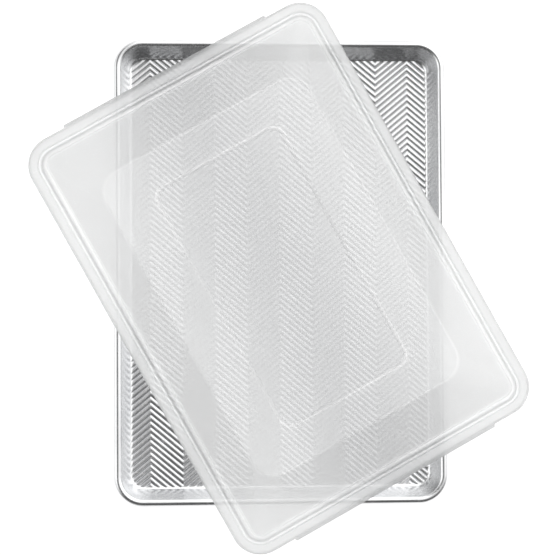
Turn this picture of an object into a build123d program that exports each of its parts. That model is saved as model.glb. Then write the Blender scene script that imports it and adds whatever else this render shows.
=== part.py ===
"""Half-size sheet pan: herringbone floor, wired rolled rim, and a loose plastic storage lid.

The pan stands on the XY plane with the middle of its underside at the origin and its long side along Y.
The lid lies on the pan's rim, turned about Z, as it is put down before it is pressed home.
"""

import os
from math import asin, atan2, ceil, cos, degrees, hypot, radians, sin, tan

from build123d import *

# Driving dimensions, millimetres and degrees

# Pan
pan_length = 457.0
pan_width = 327.0
pan_height = 25.4
sheet = 1.0  # aluminium sheet
side_run = 18.6  # from the floor's edge out to the rim's outer edge, in plan
floor_corner = 9.5  # corner radius of the floor's outline
floor_fillet = 5.0  # inside radius between floor and wall
curl_end = -132.0  # direction from the wire to the sheet's cut edge, 0 pointing outwards

# Wire in the rolled rim
wire_diameter = 5.0
wire_clearance = 0.1

# Herringbone embossed in the floor
column_width = 32.2
ridge_angle = 39.7  # between a ridge and the pan's short side
ridge_pitch = 4.7  # square to the ridges
ridge_top = 2.3
groove_bottom = 0.9
ridge_height = 0.8
floor_lap = 1.0  # how far the embossed sheet runs into the wall's fillet

# Lid, heights measured from the top of the rolled rim once the lid is pressed home
lid_wall = 0.9
lid_clearance = 0.3  # between the skirt and the rolled rim
skirt_depth = 6.0
skirt_round = 3.0
bead_radius = 0.6  # snap bead inside the skirt
bead_reach = 0.45  # how far the bead stands in from the skirt
bead_depth = 5.1
channel_round = 1.3
groove_width = 3.2
groove_depth = 2.4
groove_round = 0.7
crest_run = 2.6  # slope from the groove up to the crest, in plan
crest_width = 2.4
crest_height = 2.8
crest_round = 0.9
shelf_run = 1.2  # slope from the crest down to the shelf, in plan
shelf_width = 1.6
shelf_height = 1.6
dome_run_side = 31.5  # sloping long sides of the dome, in plan
dome_run_end = 43.0  # sloping ends of the dome, in plan
dome_height = 16.0
dome_corner = 24.0  # corner radius of the dome's flat top
panel_width = 137.0
panel_length = 262.0
panel_corner = 11.5
panel_depth = 1.5
tab_width = 227.0
tab_reach = 2.8
tab_thickness = 1.2
tab_corner = 2.0

# Where the loose lid lies
lid_turn = 29.1
lid_shift_x = -1.0
lid_shift_y = -5.3
body_gap = 0.3

# Worked out from the above

wire_radius = wire_diameter / 2
roll_inner = wire_radius + wire_clearance
roll_outer = roll_inner + sheet
floor_width = pan_width - 2 * side_run
floor_length = pan_length - 2 * side_run
roll_offset = side_run - roll_outer  # from the floor's edge to the wire's axis
roll_height = pan_height - roll_outer
roll_width = pan_width - 2 * roll_outer  # between the wire's axes
roll_length = pan_length - 2 * roll_outer
roll_corner = floor_corner + roll_offset

# The wall is the line that touches the floor fillet on one side and the roll on the other.
fillet_height = sheet + floor_fillet
wall_lean = atan2(roll_height - fillet_height, roll_offset)
wall_span = hypot(roll_height - fillet_height, roll_offset)
wall_angle = degrees(wall_lean + asin((floor_fillet + roll_outer) / wall_span))

ridge_rise = column_width * tan(radians(ridge_angle))
ridge_step = ridge_pitch / cos(radians(ridge_angle))  # along the pan's length

half_wall = lid_wall / 2
channel_half = roll_outer + lid_clearance + half_wall  # from the wire's axis to the middle of the skirt
groove_end = channel_half + groove_width
crest_start = groove_end + crest_run
crest_end = crest_start + crest_width
shelf_start = crest_end + shelf_run
shelf_end = shelf_start + shelf_width
dome_skin = lid_wall * hypot(1, (dome_height - shelf_height) / dome_run_side)  # wall measured straight down

lid_plane = Plane(
    origin=(lid_shift_x, lid_shift_y, pan_height + body_gap + skirt_depth),
    x_dir=(cos(radians(lid_turn)), sin(radians(lid_turn)), 0),
    z_dir=(0, 0, 1),
)


def polar(radius, angle):
    """Point at a distance and direction from a section's origin."""
    return Vector(radius * cos(radians(angle)), radius * sin(radians(angle)))


def loop(plane, width, length, radius):
    """Closed rounded rectangle to sweep along, starting half way up its +X side."""
    x, y = width / 2, length / 2
    with BuildLine(plane) as path:
        Line((x, 0), (x, y - radius))
        CenterArc((x - radius, y - radius), radius, 0, 90)
        Line((x - radius, y), (radius - x, y))
        CenterArc((radius - x, y - radius), radius, 90, 90)
        Line((-x, y - radius), (-x, radius - y))
        CenterArc((radius - x, radius - y), radius, 180, 90)
        Line((radius - x, -y), (x - radius, -y))
        CenterArc((x - radius, radius - y), radius, 270, 90)
        Line((x, radius - y), (x, 0))
    return path.wire()


def section_plane(plane, distance):
    """Plane across a loop where it starts: local X points outwards and local Y up."""
    origin = plane.from_local_coords((distance, 0, 0))
    return Plane(origin=origin, x_dir=plane.x_dir, z_dir=-plane.y_dir)


def make_wall():
    """Sloping wall with its floor fillet and the curl round the wire, all of one thickness."""
    fillet_centre = Vector(0, fillet_height)
    roll_centre = Vector(roll_offset, roll_height)
    square = polar(1, wall_angle + 90)  # square to the wall, towards the inside of the pan
    outer_fillet = floor_fillet + sheet
    turn = wall_angle + 90 - curl_end
    with BuildPart() as wall:
        with BuildSketch(section_plane(Plane.XY, floor_width / 2)) as section:
            with BuildLine():
                Line((0, 0), (0, sheet))
                CenterArc(fillet_centre, floor_fillet, -90, wall_angle)
                Line(fillet_centre - square * floor_fillet, roll_centre + square * roll_outer)
                CenterArc(roll_centre, roll_outer, wall_angle + 90, -turn)
                Line(roll_centre + polar(roll_outer, curl_end), roll_centre + polar(roll_inner, curl_end))
                CenterArc(roll_centre, roll_inner, curl_end, turn)
                Line(roll_centre + square * roll_inner, fillet_centre - square * outer_fillet)
                CenterArc(fillet_centre, outer_fillet, wall_angle - 90, -wall_angle)
            make_face()
        sweep(path=loop(Plane.XY, floor_width, floor_length, floor_corner))
    return wall.part


def wave_points(shift):
    """Outline of the embossed sheet cut along the pan's length: up its underside, back along its top."""
    top, bottom = ridge_top / 2 / cos(radians(ridge_angle)), groove_bottom / 2 / cos(radians(ridge_angle))
    cover = floor_length / 2 + ridge_rise + ridge_step
    count = ceil(cover / ridge_step)
    under = []
    for k in range(-count, count + 1):
        groove = k * ridge_step + shift
        ridge = groove + ridge_step / 2
        under.append((groove - bottom, 0))
        under.append((groove + bottom, 0))
        under.append((ridge - top, ridge_height))
        under.append((ridge + top, ridge_height))
    over = [(y, z + sheet) for y, z in reversed(under)]
    return under + over


def make_half_floor():
    """Strips of the herringbone at +X, each a wavy section drawn along its own slant and cut to the floor."""
    reach = floor_width / 2 + floor_lap
    with BuildPart() as half_floor:
        for j in range(ceil(reach / column_width)):
            odd = j % 2 == 1
            rise = ridge_rise if odd else -ridge_rise
            with BuildPart(mode=Mode.PRIVATE) as column:
                with BuildSketch(Plane.YZ.offset(j * column_width)):
                    with BuildLine():
                        Polyline(wave_points(-ridge_rise if odd else 0), close=True)
                    make_face()
                extrude(amount=hypot(column_width, rise), dir=(column_width, rise, 0))
                with BuildSketch():
                    RectangleRounded(2 * reach, floor_length + 2 * floor_lap, floor_corner + floor_lap)
                extrude(amount=ridge_height + sheet, mode=Mode.INTERSECT)
            add(column.part, clean=False)
    return half_floor.part


def make_pan():
    """Pan: wall and rim swept round, embossed floor laid inside."""
    half_floor = make_half_floor()
    with BuildPart() as pan:
        add(make_wall())
        add([half_floor, mirror(half_floor, about=Plane.YZ, mode=Mode.PRIVATE)], clean=False)
    return pan


def make_rim_wire():
    """Steel wire loop inside the rolled rim."""
    plane = Plane.XY.offset(roll_height)
    with BuildPart() as wire:
        with BuildSketch(section_plane(plane, roll_width / 2)):
            Circle(wire_radius)
        sweep(path=loop(plane, roll_width, roll_length, roll_corner))
    return wire


def make_lid_ring():
    """Outer ring of the lid: skirt with snap bead, channel over the rim, groove, crest and shelf."""
    with BuildPart() as ring:
        with BuildSketch(section_plane(lid_plane, roll_width / 2)):
            with BuildLine():
                FilletPolyline(
                    (channel_half, half_wall - skirt_depth),
                    (channel_half, half_wall),
                    (-channel_half, half_wall),
                    (-channel_half, half_wall - groove_depth),
                    (-groove_end, half_wall - groove_depth),
                    (-crest_start, crest_height - half_wall),
                    (-crest_end, crest_height - half_wall),
                    (-shelf_start, shelf_height - half_wall),
                    (-shelf_end, shelf_height - half_wall),
                    radius=[
                        skirt_round,
                        channel_round,
                        groove_round,
                        crest_round,
                        crest_round,
                        groove_round,
                        crest_round,
                    ],
                )
                offset(amount=half_wall, side=Side.BOTH)
            make_face()
            with Locations((channel_half - half_wall + bead_radius - bead_reach, -bead_depth)):
                Circle(bead_radius)
        sweep(path=loop(lid_plane, roll_width, roll_length, roll_corner))
    return ring.part


def lid_outline(height, side_inset, end_inset, corner):
    """Rounded rectangle on the lid, its insets counted from the wire's axis."""
    with BuildSketch(lid_plane.offset(height)) as outline:
        RectangleRounded(roll_width - 2 * side_inset, roll_length - 2 * end_inset, corner)
    return outline.sketch


def make_dome(drop, mode):
    """Solid dome with its foot in the shelf, lowered by drop: outer surface first, then its hollow."""
    foot = shelf_end - shelf_width / 2
    side = shelf_end + dome_run_side
    end = shelf_end + dome_run_end
    loft(
        [
            lid_outline(shelf_height - lid_wall - drop, foot, foot, roll_corner - foot),
            lid_outline(shelf_height - drop, shelf_end, shelf_end, roll_corner - shelf_end),
            lid_outline(dome_height - drop, side, end, dome_corner),
        ],
        ruled=True,
        mode=mode,
    )


def make_lid():
    """Storage lid, one moulding: outer ring, dome, sunk middle panel and two finger tabs."""
    with BuildPart() as lid:
        make_dome(0, Mode.ADD)
        make_dome(dome_skin, Mode.SUBTRACT)
        with BuildSketch(lid_plane.offset(dome_height)):
            RectangleRounded(panel_width + 2 * lid_wall, panel_length + 2 * lid_wall, panel_corner + lid_wall)
        extrude(amount=-panel_depth - dome_skin)
        with BuildSketch(lid_plane.offset(dome_height)):
            RectangleRounded(panel_width, panel_length, panel_corner)
        extrude(amount=-panel_depth, mode=Mode.SUBTRACT)
        add(make_lid_ring())
        with BuildSketch(lid_plane.offset(-skirt_depth)):
            RectangleRounded(
                tab_width, roll_length + 2 * channel_half + lid_wall + 2 * tab_reach, tab_corner
            )
            Rectangle(roll_width + 2 * channel_half, roll_length + 2 * channel_half, mode=Mode.SUBTRACT)
        extrude(amount=tab_thickness)
    return lid


pan = make_pan()
rim_wire = make_rim_wire()
lid = make_lid()
pan.part.label = "pan"
rim_wire.part.label = "rim_wire"
lid.part.label = "lid"

os.makedirs("parts", exist_ok=True)
export_step(pan.part, "parts/pan.step")
export_step(rim_wire.part, "parts/rim_wire.step")
export_step(lid.part, "parts/lid.step")
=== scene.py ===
"""Half-size sheet pan with a herringbone floor, and its hazy storage lid lying loose across the rim."""

import math

import bmesh
import bpy
import numpy as np
from mathutils import Matrix, Vector


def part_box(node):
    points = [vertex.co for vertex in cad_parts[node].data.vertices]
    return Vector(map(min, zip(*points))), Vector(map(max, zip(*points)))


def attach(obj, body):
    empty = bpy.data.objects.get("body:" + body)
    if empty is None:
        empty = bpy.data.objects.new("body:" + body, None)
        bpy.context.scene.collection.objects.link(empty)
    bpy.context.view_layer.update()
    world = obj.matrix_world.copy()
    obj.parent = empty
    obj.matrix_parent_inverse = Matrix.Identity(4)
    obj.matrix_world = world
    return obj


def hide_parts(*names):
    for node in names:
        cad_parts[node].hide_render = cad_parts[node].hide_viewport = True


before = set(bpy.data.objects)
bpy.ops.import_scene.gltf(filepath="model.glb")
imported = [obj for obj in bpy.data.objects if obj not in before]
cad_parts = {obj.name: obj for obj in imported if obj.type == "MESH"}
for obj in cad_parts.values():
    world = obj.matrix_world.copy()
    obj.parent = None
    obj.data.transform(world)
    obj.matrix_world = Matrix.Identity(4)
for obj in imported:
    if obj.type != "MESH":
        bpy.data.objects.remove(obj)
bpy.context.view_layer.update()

# Mesh code works in millimetres and hands over metres.
MM = 0.001

_, pan_high = (np.array(corner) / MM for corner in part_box("pan"))
lid_low, lid_high = (np.array(corner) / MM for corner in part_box("lid"))
wire_low, wire_high = (np.array(corner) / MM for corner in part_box("rim_wire"))

# Pan
SHEET = 1.0
SIDE_RUN = 18.6  # floor edge to rim edge, in plan
FLOOR_CORNER = 9.5
FLOOR_FILLET = 5.0
WIRE_CLEARANCE = 0.1
CURL_END = -132.0  # direction of the sheet's cut edge seen from the wire, degrees
GRID_GAP = 7.0  # degrees of fillet between the embossed grid and the wall's first ring

WIRE_RADIUS = (wire_high[2] - wire_low[2]) / 2
ROLL_INNER = WIRE_RADIUS + WIRE_CLEARANCE
ROLL_OUTER = ROLL_INNER + SHEET
HALF_RIM = pan_high[:2]
HALF_FLOOR = HALF_RIM - SIDE_RUN
ROLL_OFFSET = SIDE_RUN - ROLL_OUTER
ROLL_HEIGHT = pan_high[2] - ROLL_OUTER
HALF_ROLL = HALF_RIM - ROLL_OUTER
ROLL_CORNER = FLOOR_CORNER + ROLL_OFFSET
FILLET_HEIGHT = SHEET + FLOOR_FILLET
WALL_ANGLE = math.degrees(
    math.atan2(ROLL_HEIGHT - FILLET_HEIGHT, ROLL_OFFSET)
    + math.asin(
        (FLOOR_FILLET + ROLL_OUTER) / math.hypot(ROLL_HEIGHT - FILLET_HEIGHT, ROLL_OFFSET)
    )
)

# Herringbone
COLUMN_WIDTH = 32.2
RIDGE_ANGLE = math.radians(39.7)
RIDGE_STEP = 4.7 / math.cos(RIDGE_ANGLE)  # along the pan's length
RIDGE_RISE = COLUMN_WIDTH * math.tan(RIDGE_ANGLE)
RIDGE_HEIGHT = 0.8
CREASE = 0.5  # rounding where two columns meet
FLOOR_LAP = 3.2  # the embossed grid takes in this much of the fillet
LAP_LINES = (-0.1, 0.6, 1.2, 1.8, 2.5)  # grid lines along the fillet, outside the floor's outline
CORNER_LINES = (-0.1, 1.2, 2.3, FLOOR_LAP)
CORNER_SIDES = 8  # straight cuts that make up each corner line
CORNER_REGION = 34.0  # how far in from a corner's arc its cuts reach along the floor's end
SAME_POINT = 0.004  # grid points nearer than this are one
ONCE_ROUND = 8  # length of the way round the pan, two for each side with its corner
# Height of the embossing over one step, from the middle of a groove to the middle of a ridge
WAVE_AT = (0.0, 0.08, 0.13, 0.18, 0.23, 0.31, 0.5)
WAVE_HEIGHT = (0.0, 0.03, 0.22, 0.6, 0.84, 0.95, 1.0)

# Lid, heights from the top of the rolled rim once it is pressed home
LID_TURN = math.radians(29.1)
LID_WALL = 0.9
LID_CLEARANCE = 0.3
SKIRT_DEPTH = 6.0
BEAD_RADIUS = 0.6
BEAD_REACH = 0.45
BEAD_DEPTH = 5.1
GROOVE_WIDTH = 3.2
GROOVE_DEPTH = 2.4
CREST_RUN = 2.6
CREST_WIDTH = 2.4
CREST_HEIGHT = 2.8
SHELF_RUN = 1.2
SHELF_WIDTH = 1.6
SHELF_HEIGHT = 1.6
DOME_RUN = np.array((31.5, 43.0))  # sloping sides and ends of the dome, in plan
DOME_CORNER = 24.0
PANEL_HALF = np.array((68.5, 131.0))
PANEL_CORNER = 11.5
PANEL_DEPTH = 1.5
PANEL_SLOPE = 3.0  # width of the step down to the panel
PAINTED_HIGHLIGHT_REACH = 1.5  # how far the painted highlight reaches from the lid's crisp edges
TAB_HALF_WIDTH = 113.5
TAB_REACH = 2.8
TAB_THICKNESS = 1.2
TAB_SIDE = 1.6  # width of the step at each side of a tab
TAB_MARKS = (-2.4, -1.6, -0.9, -0.3, 0.3, 0.9)  # extra points about a tab's side

LID_CENTRE = (lid_low + lid_high) / 2
LID_ZERO = lid_low[2] + SKIRT_DEPTH
DOME_HEIGHT = lid_high[2] - LID_ZERO


def shape_object(name, points, faces, body, node, material, sharp=50.0, edge=None):
    """Mesh from points in millimetres, riding on a body in place of a CAD node.

    edge gives each point's share, from 0 to 1, of the painted highlight that crisp edges get."""
    mesh = bpy.data.meshes.new(name)
    mesh.from_pydata((np.asarray(points) * MM).tolist(), [], faces)
    if edge is not None:
        mesh.attributes.new("edge", "FLOAT", "POINT").data.foreach_set("value", edge)
    mesh.polygons.foreach_set("use_smooth", [True] * len(mesh.polygons))
    mesh.set_sharp_from_angle(angle=math.radians(sharp))
    mesh.materials.append(material)
    mesh.validate()
    piece = bpy.data.objects.new(name, mesh)
    bpy.context.scene.collection.objects.link(piece)
    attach(piece, body)
    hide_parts(node)
    return piece


def rounded_loop(half, corner, corner_steps, side_marks):
    """Points and outward normals round a rounded rectangle, anticlockwise from the foot of its +X side.

    side_marks gives, for the long and short sides, where points stand between -1 and 1."""
    long_marks, short_marks = side_marks
    inner = np.asarray(half) - corner
    points, normals = [], []
    sides = ((0, long_marks), (90, short_marks), (180, long_marks), (270, short_marks))
    for turn, marks in sides:
        out = np.array((math.cos(math.radians(turn)), math.sin(math.radians(turn))))
        along = np.array((-out[1], out[0]))
        reach = abs(out @ inner) + corner
        run = abs(along @ inner)
        for mark in marks:
            points.append(out * reach + along * run * mark)
            normals.append(out)
        centre = out * abs(out @ inner) + along * run
        for step in range(1, corner_steps):
            angle = math.radians(turn + 90 * step / corner_steps)
            normal = np.array((math.cos(angle), math.sin(angle)))
            points.append(centre + normal * corner)
            normals.append(normal)
    return np.array(points), np.array(normals)


def even_marks(count):
    return np.linspace(-1, 1, count + 1)


def ring_faces(rows, count, start=0, closed=False):
    """Quads between neighbouring rings of count points each."""
    faces = []
    for row in range(rows if closed else rows - 1):
        a, b = start + row * count, start + (row + 1) % rows * count
        for i in range(count):
            j = (i + 1) % count
            faces.append((a + i, a + j, b + j, b + i))
    return faces


# Pan floor

def floor_distance(x, y):
    """How far a point lies outside the floor's outline, negative inside."""
    dx, dy = abs(x) - HALF_FLOOR[0] + FLOOR_CORNER, abs(y) - HALF_FLOOR[1] + FLOOR_CORNER
    if dx > 0 and dy > 0:
        return math.hypot(dx, dy) - FLOOR_CORNER
    return max(dx, dy) - FLOOR_CORNER


def zigzag(x):
    """How far the ridge lines have dropped at x, rounded where two columns meet."""
    place = abs(x) / COLUMN_WIDTH
    share = abs((place + 1) % 2 - 1)
    edge = CREASE / COLUMN_WIDTH
    share = min(max(share, edge / 2), 1 - edge / 2)
    return -RIDGE_RISE * share


def embossing(x, y):
    """Height of the embossing at a point."""
    part = ((y - zigzag(x)) / RIDGE_STEP) % 1
    part = min(part, 1 - part)
    return RIDGE_HEIGHT * float(np.interp(part, WAVE_AT, WAVE_HEIGHT))


def fillet_rise(distance, radius):
    """How far a fillet has risen at a distance from its foot."""
    if distance <= 0:
        return 0.0
    return radius - math.sqrt(radius * radius - distance * distance)


def blend_up(low, high, width):
    """The larger of two heights, with a soft change from one to the other."""
    gap = max(width - abs(low - high), 0) / width
    return max(low, high) + gap * gap * width / 4


def floor_heights(x, y):
    """Top and underside of the sheet at a point of the embossed grid."""
    distance = floor_distance(x, y)
    wave = embossing(x, y)
    if distance <= 0:
        return SHEET + wave, wave
    soft = min(0.3, 0.02 + distance * 0.3)
    top = blend_up(wave, fillet_rise(distance, FLOOR_FILLET), soft) + SHEET
    under = blend_up(wave, fillet_rise(distance, FLOOR_FILLET + SHEET), soft)
    return top, under


def cut(mesh, point, normal, near, clear=False):
    """Splits the faces that near picks by a plane, and clears what lies outside it if asked.

    Edges and points go in as dictionaries, which keep their order, so each run cuts the same mesh."""
    faces = [f for f in mesh.faces if near(f.calc_center_median())]
    edges = dict.fromkeys(e for f in faces for e in f.edges)
    verts = dict.fromkeys(v for f in faces for v in f.verts)
    bmesh.ops.bisect_plane(
        mesh,
        geom=faces + list(edges) + list(verts),
        plane_co=(*point, 0),
        plane_no=(*normal, 0),
        clear_outer=clear,
    )


def grid_columns():
    """Where the grid has lines along the pan: column edges with their creases, and the fillet."""
    half = HALF_FLOOR[0]
    xs = {-half - FLOOR_LAP, half + FLOOR_LAP}
    reach = int((half + FLOOR_LAP) // COLUMN_WIDTH)
    for j in range(-reach, reach + 1):
        xs.update((j * COLUMN_WIDTH - CREASE, j * COLUMN_WIDTH, j * COLUMN_WIDTH + CREASE))
    for lap in LAP_LINES:
        xs.update((-half - lap, half + lap))
    return sorted(xs)


def flat_grid():
    """Flat grid whose rows follow the herringbone, reaching past both ends of the floor."""
    half_y = HALF_FLOOR[1] + FLOOR_LAP
    marks = [*WAVE_AT, *(1 - part for part in reversed(WAVE_AT[1:-1]))]
    first = -math.ceil(half_y / RIDGE_STEP) - 1
    last = math.ceil((half_y + RIDGE_RISE) / RIDGE_STEP) + 1
    rows = [(k + part) * RIDGE_STEP for k in range(first, last) for part in marks]
    xs = grid_columns()
    mesh = bmesh.new()
    grid = [[mesh.verts.new((x, y + zigzag(x), 0)) for x in xs] for y in rows]
    for below, above in zip(grid, grid[1:]):
        for i in range(len(xs) - 1):
            if min(abs(v.co.y) for v in (below[i], above[i], below[i + 1])) < half_y + RIDGE_RISE:
                mesh.faces.new((below[i], below[i + 1], above[i + 1], above[i]))
    return mesh


def cut_ends(mesh):
    """Cuts the grid off at the foot of the fillet at both ends, and lines along the fillet."""
    limit = HALF_FLOOR[1] + FLOOR_LAP
    for side in (-1, 1):
        def near(centre):
            return centre.y * side > limit - RIDGE_RISE

        cut(mesh, (0, side * limit), (0, side), near, True)
        for lap in LAP_LINES:
            cut(mesh, (0, side * (HALF_FLOOR[1] + lap)), (0, side), near)


def cut_corner(mesh, side_x, side_y):
    """Rounds one corner of the grid by straight cuts, and lines round its fillet."""
    corner_x, corner_y = HALF_FLOOR - FLOOR_CORNER

    def near(centre):
        return centre.x * side_x > corner_x - CORNER_REGION and centre.y * side_y > corner_y - 2

    for lap in CORNER_LINES:
        for step in range(CORNER_SIDES):
            angle = math.radians((step + 0.5) * 90 / CORNER_SIDES)
            normal = (side_x * math.cos(angle), side_y * math.sin(angle))
            reach = FLOOR_CORNER + lap
            point = (side_x * corner_x + normal[0] * reach, side_y * corner_y + normal[1] * reach)
            cut(mesh, point, normal, near, lap == FLOOR_LAP)


def floor_grid():
    """Flat grid that follows the herringbone, cut to the floor's outline and the foot of the fillet."""
    mesh = flat_grid()
    cut_ends(mesh)
    for side_x in (-1, 1):
        for side_y in (-1, 1):
            cut_corner(mesh, side_x, side_y)
    loose = [v for v in mesh.verts if not v.link_faces]
    bmesh.ops.delete(mesh, geom=loose, context="VERTS")
    bmesh.ops.remove_doubles(mesh, verts=mesh.verts, dist=SAME_POINT)
    return mesh


def border(mesh):
    """The grid's outer edge as vertex numbers, anticlockwise from the middle of the +X side."""
    following = {}
    for edge in mesh.edges:
        if edge.is_boundary:
            start, end = (loop.vert for loop in (edge.link_loops[0], edge.link_loops[0].link_loop_next))
            following[start.index] = end.index
    mesh.verts.ensure_lookup_table()
    begin = min(following, key=lambda i: abs(mesh.verts[i].co.y) - mesh.verts[i].co.x)
    order = [begin]
    while following[order[-1]] != begin:
        order.append(following[order[-1]])
    return order


def way_round(point):
    """Where a point near the rim stands on the way round the pan, from 0 to 8: a whole number each at
    the ends of the sides."""
    inner = HALF_FLOOR - FLOOR_CORNER
    x, y = point[0], point[1]
    dx, dy = abs(x) - inner[0], abs(y) - inner[1]
    if dx > 0 and dy > 0:
        quarter = 0 if x >= 0 and y >= 0 else 1 if x < 0 and y >= 0 else 2 if x < 0 else 3
        turn = math.atan2(dy, dx) / (math.pi / 2)
        return 1 + 2 * quarter + (turn if quarter % 2 == 0 else 1 - turn)
    if dx > dy:
        return y / inner[1] % ONCE_ROUND if x >= 0 else 4 - y / inner[1]
    return 2 - x / inner[0] if y >= 0 else 6 + x / inner[0]


def from_start(ring, places):
    """A closed ring turned to begin where the way round begins, and where its points stand on that way,
    with the first one added once more at the end."""
    keys = [way_round(place) for place in places]
    start = int(np.argmin(keys))
    keys = keys[start:] + keys[:start]
    return ring[start:] + ring[:start], [*keys, keys[0] + ONCE_ROUND]


def zip_rings(a, b, key_a, key_b):
    """Triangles between two closed rings that go round the same way, by where their points stand."""
    faces = []
    i = j = 0
    while i < len(a) or j < len(b):
        next_a = key_a[i + 1] if i < len(a) else math.inf
        next_b = key_b[j + 1] if j < len(b) else math.inf
        if next_a <= next_b:
            faces.append((a[i % len(a)], a[(i + 1) % len(a)], b[j % len(b)]))
            i += 1
        else:
            faces.append((a[i % len(a)], b[(j + 1) % len(b)], b[j % len(b)]))
            j += 1
    return faces


def on_circle(centre, radius, angle):
    turn = math.radians(angle)
    return centre[0] + radius * math.cos(turn), centre[1] + radius * math.sin(turn)


def arc(centre, radius, start, end, steps):
    return [on_circle(centre, radius, angle) for angle in np.linspace(start, end, steps + 1)]


def wall_section():
    """Section of wall and curl from the fillet's inside, over the rim and back to the fillet's underside,
    as (distance outside the floor's outline, height)."""
    roll = (ROLL_OFFSET, ROLL_HEIGHT)
    fillet = (0.0, FILLET_HEIGHT)
    inside = math.degrees(math.asin(FLOOR_LAP / FLOOR_FILLET)) - 90 + GRID_GAP
    outside = math.degrees(math.asin(FLOOR_LAP / (FLOOR_FILLET + SHEET))) - 90 + GRID_GAP
    top = WALL_ANGLE + 90
    section = arc(fillet, FLOOR_FILLET, inside, WALL_ANGLE - 90, 5)
    start = np.array(section[-1])
    end = np.array(on_circle(roll, ROLL_OUTER, top))
    section += [tuple(start + (end - start) * share) for share in (0.2, 0.4, 0.6, 0.8)]
    section += arc(roll, ROLL_OUTER, top, CURL_END + 2, 24)
    section.append(on_circle(roll, (ROLL_OUTER + ROLL_INNER) / 2, CURL_END))
    section += arc(roll, ROLL_INNER, CURL_END + 2, top, 14)
    start = np.array(section[-1])
    end = np.array(on_circle(fillet, FLOOR_FILLET + SHEET, WALL_ANGLE - 90))
    section += [tuple(start + (end - start) * share) for share in (0.25, 0.5, 0.75)]
    section += arc(fillet, FLOOR_FILLET + SHEET, WALL_ANGLE - 90, outside, 5)
    return section


def embossed_floor():
    """Points and faces of the floor's two skins, the outer edge of one skin, and its points seen flat."""
    grid = floor_grid()
    grid.verts.index_update()
    flat = [v.co.copy() for v in grid.verts]
    floor = [tuple(v.index for v in f.verts) for f in grid.faces]
    edge = border(grid)
    grid.free()
    heights = [floor_heights(p.x, p.y) for p in flat]
    count = len(flat)
    points = [(p.x, p.y, top) for p, (top, under) in zip(flat, heights)]
    points += [(p.x, p.y, under) for p, (top, under) in zip(flat, heights)]
    faces = floor + [tuple(i + count for i in reversed(f)) for f in floor]
    return points, faces, edge, flat


def pan_piece(material):
    points, faces, edge, flat = embossed_floor()
    section = wall_section()
    outline, normals = rounded_loop(HALF_FLOOR, FLOOR_CORNER, 16, (even_marks(56), even_marks(38)))
    first = len(points)
    for out, up in section:
        for p, n in zip(outline, normals):
            points.append((*(p + n * out), up))
    size = len(outline)
    faces += [tuple(reversed(f)) for f in ring_faces(len(section), size, first)]

    ring, ring_keys = from_start(list(range(size)), outline)
    inner_ring = [first + i for i in ring]
    under_ring = [first + (len(section) - 1) * size + i for i in ring]
    edge, edge_keys = from_start(edge, [flat[i] for i in edge])
    under_edge = [i + len(flat) for i in edge]
    faces += [tuple(reversed(f)) for f in zip_rings(edge, inner_ring, edge_keys, ring_keys)]
    faces += zip_rings(under_edge, under_ring, edge_keys, ring_keys)
    return shape_object("sheet_pan", points, faces, "pan_body", "pan", material, 38.0)


def wire_piece(material):
    """Wire loop inside the rim."""
    marks = (even_marks(16), even_marks(12))
    outline, normals = rounded_loop(HALF_ROLL, ROLL_CORNER, 16, marks)
    points = []
    for out, up in arc((0, (wire_low[2] + wire_high[2]) / 2), WIRE_RADIUS, 0, 360, 20)[:-1]:
        for p, n in zip(outline, normals):
            points.append((*(p + n * out), up))
    faces = ring_faces(20, len(outline), closed=True)
    return shape_object("rim_wire_loop", points, faces, "pan_body", "rim_wire", material)


# Lid

def rounded_path(corners, step):
    """Polyline through corners given as (out, up, radius), its corners rounded."""
    path = [np.array(corners[0][:2], float)]
    for before, here, after in zip(corners, corners[1:], corners[2:]):
        a, b, c = (np.array(p[:2], float) for p in (before, here, after))
        u, v = (a - b) / np.linalg.norm(a - b), (c - b) / np.linalg.norm(c - b)
        half = math.acos(max(-1.0, min(1.0, float(u @ v)))) / 2
        back = here[2] / math.tan(half)
        centre = b + (u + v) / np.linalg.norm(u + v) * here[2] / math.sin(half)
        start, end = b + u * back - centre, b + v * back - centre
        sweep = math.pi - 2 * half
        steps = max(2, round(math.degrees(sweep) / step))
        turn = math.copysign(1, start[0] * end[1] - start[1] * end[0])
        for k in range(steps + 1):
            angle = turn * sweep * k / steps
            spin = np.array(((math.cos(angle), -math.sin(angle)), (math.sin(angle), math.cos(angle))))
            path.append(centre + spin @ start)
    path.append(np.array(corners[-1][:2], float))
    return path


def lid_outline(out):
    """Half sizes and corner radius of the lid's ring at a distance outside the wire's axis."""
    shelf = -lid_marks()["shelf_end"]
    flat = shelf - DOME_RUN[0]
    panel = PANEL_HALF[0] - HALF_ROLL[0]
    if out >= shelf:
        return HALF_ROLL + out, ROLL_CORNER + out
    if out >= flat:
        share = (shelf - out) / DOME_RUN[0]
        corner = (ROLL_CORNER + shelf) * (1 - share) + DOME_CORNER * share
        return HALF_ROLL + shelf - DOME_RUN * share, corner
    if out >= panel:
        share = (flat - out) / (flat - panel)
        half = (HALF_ROLL + shelf - DOME_RUN) * (1 - share) + PANEL_HALF * share
        return half, DOME_CORNER * (1 - share) + PANEL_CORNER * share
    return PANEL_HALF + (out - panel), max(PANEL_CORNER + (out - panel) / 2, 0.6)


def lid_marks():
    """Where the lid's section turns, as distances inside the wire's axis."""
    channel = ROLL_OUTER + LID_CLEARANCE + LID_WALL / 2
    groove_end = channel + GROOVE_WIDTH
    crest_start = groove_end + CREST_RUN
    crest_end = crest_start + CREST_WIDTH
    shelf_start = crest_end + SHELF_RUN
    return {
        "channel": channel,
        "groove_end": groove_end,
        "crest_start": crest_start,
        "crest_end": crest_end,
        "shelf_start": shelf_start,
        "shelf_end": shelf_start + SHELF_WIDTH,
    }


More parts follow.
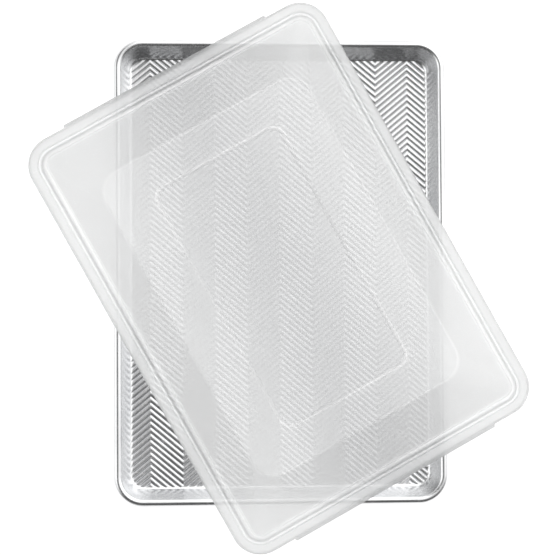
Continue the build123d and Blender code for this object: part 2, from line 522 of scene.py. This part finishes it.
def lid_path():
    """Middle of the lid's wall from the skirt's lip to the middle of the panel."""
    m = lid_marks()
    half = LID_WALL / 2
    flat = m["shelf_end"] + DOME_RUN[0]
    panel = HALF_ROLL[0] - PANEL_HALF[0]
    top = DOME_HEIGHT - half
    corners = [
        (m["channel"], half - SKIRT_DEPTH),
        (m["channel"], half, 3.0),
        (-m["channel"], half, 1.2),
        (-m["channel"] - 0.9, half - GROOVE_DEPTH, 0.9),
        (-m["groove_end"], half - GROOVE_DEPTH, 0.9),
        (-m["crest_start"], CREST_HEIGHT - half, 0.9),
        (-m["crest_end"], CREST_HEIGHT - half, 0.9),
        (-m["shelf_start"], SHELF_HEIGHT - half, 0.7),
        (-m["shelf_end"], SHELF_HEIGHT - half, 1.2),
        (-flat, top, 3.0),
        (-panel + PANEL_SLOPE / 2, top, 1.4),
        (-panel - PANEL_SLOPE / 2, top - PANEL_DEPTH, 1.4),
        (-HALF_ROLL[0] + 1.5, top - PANEL_DEPTH),
    ]
    return rounded_path(corners, 15)


def fill_in(path, longest, end):
    """The path with points added where two stand far apart, and near both ends of each long stretch."""
    filled = [path[0]]
    for a, b in zip(path, path[1:]):
        length = np.linalg.norm(b - a)
        steps = max(1, math.ceil(length / longest))
        shares = {k / steps for k in range(1, steps + 1)}
        if length > 3 * end:
            shares |= {end / length, 1 - end / length}
        filled += [a + (b - a) * share for share in sorted(shares)]
    return filled


def bead_stand(up):
    """How far the snap bead stands in from the skirt at a height."""
    off = min(abs(up + BEAD_DEPTH), BEAD_RADIUS)
    return max(math.sqrt(BEAD_RADIUS ** 2 - off ** 2) - BEAD_RADIUS + BEAD_REACH, 0.0)


def lid_section():
    """Outer and inner skin of the lid's wall as lists of (out, up), and each point's share of the painted
    highlight along crisp edges.
    """
    m = lid_marks()
    half = LID_WALL / 2
    skirt = [(m["channel"], up) for up in np.linspace(half - SKIRT_DEPTH, BEAD_RADIUS - BEAD_DEPTH, 8)]
    path = np.array(skirt + fill_in(lid_path(), 9.0, 1.0)[1:])
    along = np.gradient(path, axis=0)
    along /= np.linalg.norm(along, axis=1)[:, None]
    square = np.stack((along[:, 1], -along[:, 0]), axis=1)
    inner = path - square * half
    inner[:, 0] -= [bead_stand(up) for up in inner[:, 1]]
    top = DOME_HEIGHT - half
    # Crisp edges that get a painted highlight, each with its share
    crisp = (
        (-m["crest_end"], CREST_HEIGHT - half, 1.0),
        (-m["shelf_end"] - DOME_RUN[0], top, 0.5),
        (PANEL_HALF[0] - HALF_ROLL[0] + PANEL_SLOPE / 2, top, 0.9),
    )
    edge = np.zeros(len(path))
    for out, up, share in crisp:
        away = np.linalg.norm(path - (out, up), axis=1)
        edge = np.maximum(edge, share * (1 - away / PAINTED_HIGHLIGHT_REACH))
    return path + square * half, inner, edge


def smooth(value, low, high):
    share = min(max((value - low) / (high - low), 0.0), 1.0)
    return share * share * (3 - 2 * share)


def lid_side_marks():
    """Where points stand along the lid's long sides and, closer together beside the tabs, its ends."""
    straight = HALF_ROLL[0] - ROLL_CORNER
    tab_end = TAB_HALF_WIDTH / straight
    near = [tab_end + shift / straight for shift in TAB_MARKS]
    between = np.linspace(-tab_end + 0.04, tab_end - 0.04, 25)
    short = sorted({*between, *near, *(-mark for mark in near), -1.0, 1.0})
    return even_marks(44), np.array(short)


def tab_push(point, normal):
    """How far the finger tab at a point of the lid's outline stands out."""
    if abs(normal[1]) <= 0.999:
        return 0.0
    return TAB_REACH * (1 - smooth(abs(point[0]), TAB_HALF_WIDTH - TAB_SIDE, TAB_HALF_WIDTH))


def lid_piece(material):
    outer, inner, edge = lid_section()
    lip = (outer[0] + inner[0]) / 2 - (0, LID_WALL / 2)
    rows = [*reversed(inner), lip, *outer]
    edge = [*reversed(edge), 0.0, *edge]
    tab_top = LID_WALL / 2 - SKIRT_DEPTH + TAB_THICKNESS
    marks = lid_side_marks()
    points = []
    spin = Matrix.Rotation(LID_TURN, 3, "Z")
    centre = Vector((LID_CENTRE[0], LID_CENTRE[1], LID_ZERO))
    for index, (out, up) in enumerate(rows):
        half, corner = lid_outline(out)
        outline, normals = rounded_loop(half, corner, 14, marks)
        on_tab = index >= len(inner) and up < tab_top
        for p, n in zip(outline, normals):
            push = tab_push(p, n) if on_tab else 0.0
            points.append(centre + spin @ Vector((*(p + n * push), up)))
    count = len(outline)
    last = (len(rows) - 1) * count
    faces = ring_faces(len(rows), count)
    faces.append(tuple(reversed(range(count))))
    faces.append(tuple(range(last, last + count)))
    edge = np.repeat(edge, count)
    return shape_object("storage_lid", points, faces, "lid_body", "lid", material, 60.0, edge)


# Materials

METAL_DARK = (0.52, 0.525, 0.535)
METAL_LIGHT = (0.88, 0.883, 0.886)
# Colour of the painted shade along the lid's middle
PLASTIC_PAINTED_SHADE = (0.69, 0.694, 0.698)
PLASTIC_LIGHT = (0.825, 0.829, 0.829)
# Colour of the painted highlight along the lid's crisp edges
PLASTIC_PAINTED_HIGHLIGHT = (0.98, 0.98, 0.98)
ZINC_DARK = (0.36, 0.37, 0.38)
ZINC_LIGHT = (0.6, 0.61, 0.62)
PAINTED_SHADE_REACH = 0.125  # how far the painted shade along the lid's middle reaches to each side, metres


def new_material(name):
    material = bpy.data.materials.new(name)
    material.use_nodes = True
    nodes, links = material.node_tree.nodes, material.node_tree.links
    return material, nodes, links, nodes["Principled BSDF"]


class Pattern:
    """Small helpers that build a material's node patterns from the piece's own rest coordinates, in metres,
    or the sky's from its directions."""

    def __init__(self, nodes, links, coordinates="Object"):
        self.nodes, self.links = nodes, links
        self.place = nodes.new("ShaderNodeTexCoord").outputs[coordinates]

    def noise(self, scale, detail=3.0, turn=0.0, roughness=0.5):
        """Noise, scale being cells per metre along each axis, turned about Z."""
        mapping = self.nodes.new("ShaderNodeMapping")
        mapping.vector_type = "TEXTURE"
        mapping.inputs["Rotation"].default_value = (0, 0, turn)
        mapping.inputs["Scale"].default_value = tuple(1 / axis for axis in scale)
        texture = self.nodes.new("ShaderNodeTexNoise")
        texture.inputs["Scale"].default_value = 1.0
        texture.inputs["Detail"].default_value = detail
        texture.inputs["Roughness"].default_value = roughness
        self.links.new(self.place, mapping.inputs["Vector"])
        self.links.new(mapping.outputs["Vector"], texture.inputs["Vector"])
        return texture.outputs["Fac"]

    def ranged(self, value, start, end, low, high, soft=False):
        """Value fading from low to high as it goes from start to end, softly at both ends if asked."""
        fade = self.nodes.new("ShaderNodeMapRange")
        fade.interpolation_type = "SMOOTHSTEP" if soft else "LINEAR"
        values = {"From Min": start, "From Max": end, "To Min": low, "To Max": high}
        for name, number in values.items():
            fade.inputs[name].default_value = number
        self.links.new(value, fade.inputs["Value"])
        return fade.outputs["Result"]

    def joined(self, operation, a, b):
        node = self.nodes.new("ShaderNodeMath")
        node.operation = operation
        self.links.new(a, node.inputs[0])
        self.links.new(b, node.inputs[1])
        return node.outputs["Value"]

    def height(self):
        """Height above the table at rest."""
        split = self.nodes.new("ShaderNodeSeparateXYZ")
        self.links.new(self.place, split.inputs["Vector"])
        return split.outputs["Z"]

    def lines(self, directions, along, start, end):
        """Thin lines running several ways, each way given as its turn and its cells per metre across."""
        found = None
        for turn, across in directions:
            streaks = self.noise((across, along, across), 2.0, turn)
            thin = self.ranged(streaks, start, end, 0.0, 1.0)
            found = thin if found is None else self.joined("MAXIMUM", found, thin)
        return found

    def dot(self, direction):
        """How far the place lies in a direction."""
        node = self.nodes.new("ShaderNodeVectorMath")
        node.operation = "DOT_PRODUCT"
        node.inputs[1].default_value = direction
        self.links.new(self.place, node.inputs[0])
        return node.outputs["Value"]

    def off_axis(self, turn, reach):
        """0 on a line through the origin at an angle from +Y, fading to 1 at a distance from it."""
        away = self.nodes.new("ShaderNodeMath")
        away.operation = "ABSOLUTE"
        self.links.new(self.dot((math.cos(turn), math.sin(turn), 0)), away.inputs[0])
        return self.ranged(away.outputs["Value"], 0.0, reach, 0.0, 1.0, soft=True)

    def attribute(self, name):
        """Value that the mesh holds for each of its points."""
        node = self.nodes.new("ShaderNodeAttribute")
        node.attribute_name = name
        return node.outputs["Fac"]

    def colour(self, factor, start, end):
        """Colour going from start, a colour or another pattern's output, to end."""
        mix = self.nodes.new("ShaderNodeMix")
        mix.data_type = "RGBA"
        if isinstance(start, tuple):
            mix.inputs["A"].default_value = (*start, 1)
        else:
            self.links.new(start, mix.inputs["A"])
        mix.inputs["B"].default_value = (*end, 1)
        self.links.new(factor, mix.inputs["Factor"])
        return mix.outputs["Result"]

    def bump(self, height, distance, strength=1.0, under=None):
        node = self.nodes.new("ShaderNodeBump")
        node.inputs["Distance"].default_value = distance
        node.inputs["Strength"].default_value = strength
        self.links.new(height, node.inputs["Height"])
        if under is not None:
            self.links.new(under, node.inputs["Normal"])
        return node.outputs["Normal"]


def aluminium():
    """Bare aluminium: rolling grain along the pan, handling scratches, cloudy patches, grooves that are
    rougher and carry a painted shade.
    """
    material, nodes, links, shader = new_material("satin_aluminium")
    pattern = Pattern(nodes, links)
    grain = pattern.noise((1500, 22, 1500), 4.0)
    clouds = pattern.noise((16, 11, 30), 3.0)
    speck = pattern.noise((2600, 2600, 2600), 2.0)
    scratches = pattern.lines(((0.5, 900), (-0.9, 1200), (1.35, 700)), 9, 0.66, 0.74)
    # Painted shade: the base colour goes darker low down in the floor's grooves, patchy with the clouds;
    # the grooves are also rougher.
    groove = pattern.ranged(pattern.height(), 0.0010, 0.0017, 1.0, 0.0)
    shaded_dull_grooves = pattern.joined("MULTIPLY", groove, pattern.ranged(clouds, 0.35, 0.65, 0.55, 1.0))

    grain_tone = pattern.ranged(grain, 0.3, 0.7, 0.35, 0.65)
    cloud_tone = pattern.ranged(clouds, 0.3, 0.7, -0.2, 0.3)
    tone = pattern.joined("ADD", grain_tone, cloud_tone)
    shade = pattern.joined("SUBTRACT", tone, pattern.ranged(shaded_dull_grooves, 0.0, 1.0, 0.0, 0.9))
    links.new(pattern.colour(shade, METAL_DARK, METAL_LIGHT), shader.inputs["Base Color"])

    rough = pattern.ranged(clouds, 0.3, 0.7, 0.2, 0.27)
    rough = pattern.joined("ADD", rough, pattern.ranged(grain, 0.3, 0.7, -0.03, 0.04))
    rough = pattern.joined("ADD", rough, pattern.ranged(shaded_dull_grooves, 0.0, 1.0, 0.0, 0.1))
    rough = pattern.joined("ADD", rough, pattern.ranged(scratches, 0.0, 1.0, 0.0, 0.12))
    links.new(rough, shader.inputs["Roughness"])

    fine = pattern.bump(speck, 0.00001, 0.6)
    rolled = pattern.bump(grain, 0.000012, 0.7, fine)
    links.new(pattern.bump(scratches, -0.00002, 0.7, rolled), shader.inputs["Normal"])
    shader.inputs["Metallic"].default_value = 1.0
    return material


def steel():
    """Zinc-coated wire: mottled crystals and paler patches."""
    material, nodes, links, shader = new_material("galvanised_wire")
    pattern = Pattern(nodes, links)
    mottle = pattern.noise((420, 420, 420), 4.0)
    patches = pattern.noise((60, 60, 60), 2.0)
    tone = pattern.ranged(mottle, 0.3, 0.7, 0.1, 0.6)
    tone = pattern.joined("ADD", tone, pattern.ranged(patches, 0.3, 0.7, 0.0, 0.3))
    links.new(pattern.colour(tone, ZINC_DARK, ZINC_LIGHT), shader.inputs["Base Color"])
    links.new(pattern.ranged(mottle, 0.3, 0.7, 0.34, 0.55), shader.inputs["Roughness"])
    links.new(pattern.bump(mottle, 0.00006, 0.6), shader.inputs["Normal"])
    shader.inputs["Metallic"].default_value = 1.0
    return material


def hazy_plastic():
    """Milky see-through moulding: flow clouds, painted highlights along crisp edges, a painted shade along
    the middle, faint ripples, scuffs and fine pits.
    """
    material, nodes, links, shader = new_material("hazy_plastic")
    pattern = Pattern(nodes, links)
    flow = pattern.noise((9, 5, 9), 3.0, LID_TURN)
    ripple = pattern.noise((45, 30, 45), 2.0, LID_TURN)
    pits = pattern.noise((1400, 1400, 1400), 2.0)
    scuffs = pattern.lines(((0.9, 800), (-0.4, 1000), (1.9, 900)), 7, 0.68, 0.78)

    tone = pattern.ranged(flow, 0.3, 0.7, 0.75, 0.95)
    tone = pattern.joined("ADD", tone, pattern.ranged(scuffs, 0.0, 1.0, 0.0, 0.12))
    # Painted shade: a darker band along the lid's middle, fading out to each side
    tone = pattern.joined("MULTIPLY", tone, pattern.off_axis(LID_TURN, PAINTED_SHADE_REACH))
    body = pattern.colour(tone, PLASTIC_PAINTED_SHADE, PLASTIC_LIGHT)
    # Painted highlight: base colour paler along the crisp edges, patchy with the flow
    pale = pattern.ranged(flow, 0.4, 0.6, 0.3, 1.0)
    pale = pattern.joined("MULTIPLY", pattern.attribute("edge"), pale)
    links.new(pattern.colour(pale, body, PLASTIC_PAINTED_HIGHLIGHT), shader.inputs["Base Color"])

    rough = pattern.ranged(flow, 0.3, 0.7, 0.2, 0.28)
    rough = pattern.joined("ADD", rough, pattern.ranged(scuffs, 0.0, 1.0, 0.0, 0.12))
    rough = pattern.joined("ADD", rough, pattern.ranged(pits, 0.3, 0.7, -0.03, 0.05))
    links.new(rough, shader.inputs["Roughness"])

    fine = pattern.bump(pits, 0.00001, 0.5)
    scuffed = pattern.bump(scuffs, -0.000009, 0.6, fine)
    links.new(pattern.bump(ripple, 0.0003, 0.35, scuffed), shader.inputs["Normal"])
    shader.inputs["Alpha"].default_value = 0.63
    shader.inputs["IOR"].default_value = 1.49
    shader.inputs["Specular IOR Level"].default_value = 0.3
    return material


# Stage, camera and lights

FLOOR_REACH = 6.0


def make_floor():
    mesh = bpy.data.meshes.new("floor")
    corners = [(-1, -1), (1, -1), (1, 1), (-1, 1)]
    mesh.from_pydata([(x * FLOOR_REACH, y * FLOOR_REACH, 0) for x, y in corners], [], [(0, 1, 2, 3)])
    floor = bpy.data.objects.new("floor", mesh)
    material, *_, shader = new_material("pale_floor")
    shader.inputs["Base Color"].default_value = (0.3, 0.3, 0.3, 1)
    shader.inputs["Roughness"].default_value = 0.8
    shader.inputs["Emission Color"].default_value = (1, 1, 1, 1)
    shader.inputs["Emission Strength"].default_value = 0.8
    mesh.materials.append(material)
    bpy.context.scene.collection.objects.link(floor)


def area_light(name, place, side, power):
    """Square light aimed at the origin. Only dull surfaces see it: the metal mirrors the sky alone."""
    data = bpy.data.lights.new(name, "AREA")
    data.shape = "RECTANGLE"
    data.size = side
    data.size_y = side
    data.energy = power
    light = bpy.data.objects.new(name, data)
    light.location = place
    light.rotation_euler = (-Vector(place)).to_track_quat("-Z", "Y").to_euler()
    light.visible_camera = False
    light.visible_glossy = False
    bpy.context.scene.collection.objects.link(light)


CAMERA_FROM = Vector((-0.09, -0.05, 1.5))
CAMERA_AT = Vector((-0.0035, -0.0057, 0.022))
FRAME_WIDTH = 0.5462  # what the picture is wide at the rim, metres
CAMERA_ROLL = math.radians(-0.3)


def make_camera():
    data = bpy.data.cameras.new("camera")
    distance = (CAMERA_FROM - CAMERA_AT).length
    data.sensor_width = 36
    data.lens = 36 * distance / FRAME_WIDTH
    camera = bpy.data.objects.new("camera", data)
    forward = (CAMERA_AT - CAMERA_FROM).normalized()
    right = forward.cross(Vector((0, 1, 0))).normalized()
    up = right.cross(forward)
    turn = Matrix((right, up, -forward)).transposed() @ Matrix.Rotation(CAMERA_ROLL, 3, "Z")
    camera.matrix_world = Matrix.Translation(CAMERA_FROM) @ turn.to_4x4()
    bpy.context.scene.collection.objects.link(camera)
    bpy.context.scene.camera = camera


# Sky round the object: a dim room, a broad key light towards +X +Y, a fill from -X, and a glow low down all
# round but at -Y
ROOM = 0.13
KEY_FROM = (0.527, 0.585, 0.616)
KEY_POWER = 2.1
KEY_WIDTH = 66.0  # degrees from its middle to where it has faded out
FILL_FROM = (-0.9, -0.1, 0.42)
FILL_POWER = 1.3
FILL_WIDTH = 38.0
HORIZON_GLOW = 0.95


def make_world():
    """Sky that the metal and the gloss of the plastic mirror. Dull surfaces don't see it."""
    world = bpy.data.worlds.new("studio")
    world.use_nodes = True
    nodes, links = world.node_tree.nodes, world.node_tree.links
    sky = Pattern(nodes, links, "Generated")
    key_edge = math.cos(math.radians(KEY_WIDTH))
    fill_edge = math.cos(math.radians(FILL_WIDTH))
    key = sky.ranged(sky.dot(KEY_FROM), key_edge, 1.0, ROOM, ROOM + KEY_POWER, soft=True)
    fill = sky.ranged(sky.dot(FILL_FROM), fill_edge, 1.0, 0.0, FILL_POWER, soft=True)
    low = sky.ranged(sky.dot((0.0, 0.0, 1.0)), 0.5, 0.15, 0.0, HORIZON_GLOW, soft=True)
    side = sky.ranged(sky.dot((0.0, 1.0, 0.0)), -0.55, 0.0, 0.0, 1.0, soft=True)
    light = sky.joined("ADD", sky.joined("ADD", key, fill), sky.joined("MULTIPLY", low, side))
    links.new(light, nodes["Background"].inputs["Strength"])
    nodes["Background"].inputs["Color"].default_value = (1, 1, 1, 1)
    world.cycles_visibility.diffuse = False
    bpy.context.scene.world = world


pan_piece(aluminium())
wire_piece(steel())
lid = lid_piece(hazy_plastic())
# The thin lid lets nearly all light past, so it casts no shadow and the pan's metal doesn't mirror it.
lid.visible_shadow = False
lid.visible_glossy = False
make_floor()
make_camera()
make_world()
area_light("overhead", (0, 0, 1.8), 2.6, 46.5)
area_light("key", (0.9, 0.9, 1.3), 0.9, 0.8)
bpy.context.scene.view_settings.view_transform = "Standard"
